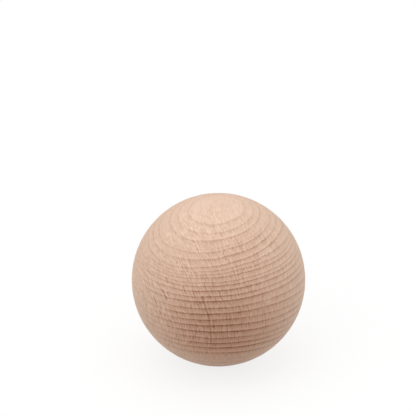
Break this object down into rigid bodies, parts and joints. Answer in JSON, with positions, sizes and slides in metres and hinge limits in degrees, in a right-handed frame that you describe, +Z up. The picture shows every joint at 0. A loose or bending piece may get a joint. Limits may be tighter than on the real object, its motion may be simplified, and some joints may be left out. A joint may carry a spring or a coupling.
{
  "type": "wooden ball",
  "caption": "Plain solid wooden ball, turned round from one block of light hardwood and sanded smooth, with no hole, flat or finish.",
  "frame": {"origin": "centre of the ball", "axes": "+Z up. The ball has no front or top of its own; its visual finish shows the flat-sawn face, with widening oval growth rings, near +Z, and end grain towards -Y"},
  "size_m": [0.06, 0.06, 0.06],
  "materials": {
    "beech": "fine-sanded bare beech, unoiled and unvarnished, matt, with growth rings, ray flecks and darker end grain"
  },
  "bodies": {
    "root": {"ball": "beech"}
  },
  "joints": []
}
